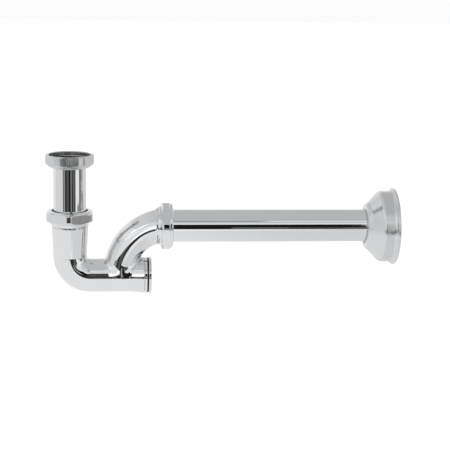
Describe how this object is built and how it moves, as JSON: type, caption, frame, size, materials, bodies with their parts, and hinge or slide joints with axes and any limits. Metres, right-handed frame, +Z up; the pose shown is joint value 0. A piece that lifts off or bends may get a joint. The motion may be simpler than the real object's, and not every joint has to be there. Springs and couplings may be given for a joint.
{
  "type": "p trap",
  "caption": "Chrome-plated tubular P-trap with union nut, slip joints, cleanout plug, straight outlet tube and a wall rosette.",
  "frame": {"origin": "centre of the inlet washer's upper face, where the basin's waste seats", "axes": "+X along the outlet tube towards the wall, +Z up the inlet tube towards the basin, the whole trap in the plane Y = 0"},
  "size_m": [0.3446, 0.076, 0.1382],
  "materials": {
    "chrome_turned": "polished chrome plate on turned brass",
    "chrome_cast": "polished chrome plate on cast brass",
    "chrome_tube": "polished chrome plate on drawn brass tube",
    "chrome_pressed": "polished chrome plate on pressed brass",
    "rubber": "matt black rubber",
    "nylon": "black nylon"
  },
  "bodies": {
    "inlet_tube": {"inlet_tube": "chrome_tube", "inlet_washer": "rubber"},
    "union_nut": {"inlet_union_nut": "chrome_turned"},
    "inlet_seal": {"inlet_cone_seal": "rubber"},
    "trap": {"trap_bend": "chrome_cast", "inlet_ferrule": "chrome_turned", "outlet_ferrule": "chrome_turned", "cleanout_ferrule": "chrome_turned"},
    "inlet_ring": {"inlet_slip_ring": "nylon"},
    "inlet_nut": {"inlet_slip_nut": "chrome_turned"},
    "outlet_ring": {"outlet_slip_ring": "nylon"},
    "outlet_nut": {"outlet_slip_nut": "chrome_turned"},
    "cleanout_gasket": {"cleanout_gasket": "rubber"},
    "cleanout_plug": {"cleanout_plug": "chrome_turned"},
    "outlet_seal": {"outlet_cone_seal": "rubber"},
    "outlet_tube": {"outlet_tube": "chrome_tube"},
    "rosette": {"wall_rosette": "chrome_pressed"}
  },
  "joints": [
    {"name": "union_nut_turn", "type": "hinge", "parent": "inlet_tube", "child": "union_nut", "pos_m": [0, 0, 0], "axis": [0, 0, 1], "continuous": true},
    {"name": "inlet_height", "type": "slide", "parent": "inlet_tube", "child": "inlet_seal", "axis": [0, 0, 1], "range_m": [-0.014, 0.0035]},
    {"name": "inlet_swivel", "type": "hinge", "parent": "inlet_seal", "child": "trap", "pos_m": [0, 0, -0.0654], "axis": [0, 0, 1], "continuous": true},
    {"name": "inlet_nut_travel", "type": "slide", "parent": "trap", "child": "inlet_ring", "axis": [0, 0, 1], "range_m": [0, 0.0093]},
    {"name": "inlet_nut_turn", "type": "hinge", "parent": "inlet_ring", "child": "inlet_nut", "pos_m": [0, 0, -0.0654], "axis": [0, 0, 1], "range_deg": [0, 1440]},
    {"name": "outlet_nut_travel", "type": "slide", "parent": "trap", "child": "outlet_ring", "axis": [1, 0, 0], "range_m": [0, 0.0093]},
    {"name": "outlet_nut_turn", "type": "hinge", "parent": "outlet_ring", "child": "outlet_nut", "pos_m": [0.0846, 0, -0.0654], "axis": [1, 0, 0], "range_deg": [0, 1440]},
    {"name": "cleanout_travel", "type": "slide", "parent": "trap", "child": "cleanout_gasket", "axis": [1, 0, 0], "range_m": [0, 0.0076]},
    {"name": "cleanout_turn", "type": "hinge", "parent": "cleanout_gasket", "child": "cleanout_plug", "pos_m": [0.0754, 0, -0.115], "axis": [1, 0, 0], "range_deg": [0, 1800]},
    {"name": "outlet_swivel", "type": "hinge", "parent": "trap", "child": "outlet_seal", "pos_m": [0.0846, 0, -0.0654], "axis": [1, 0, 0], "continuous": true},
    {"name": "outlet_tube_slide", "type": "slide", "parent": "outlet_seal", "child": "outlet_tube", "axis": [1, 0, 0], "range_m": [0, 0.01]},
    {"name": "rosette_slide", "type": "slide", "parent": "outlet_tube", "child": "rosette", "axis": [1, 0, 0], "range_m": [-0.165, 0.004]}
  ],
  "couplings": [
    {"joint": "inlet_nut_travel", "follows": "inlet_nut_turn", "m_per_rad": 0.0003675},
    {"joint": "outlet_nut_travel", "follows": "outlet_nut_turn", "m_per_rad": 0.0003675},
    {"joint": "cleanout_travel", "follows": "cleanout_turn", "m_per_rad": 0.0002387}
  ]
}
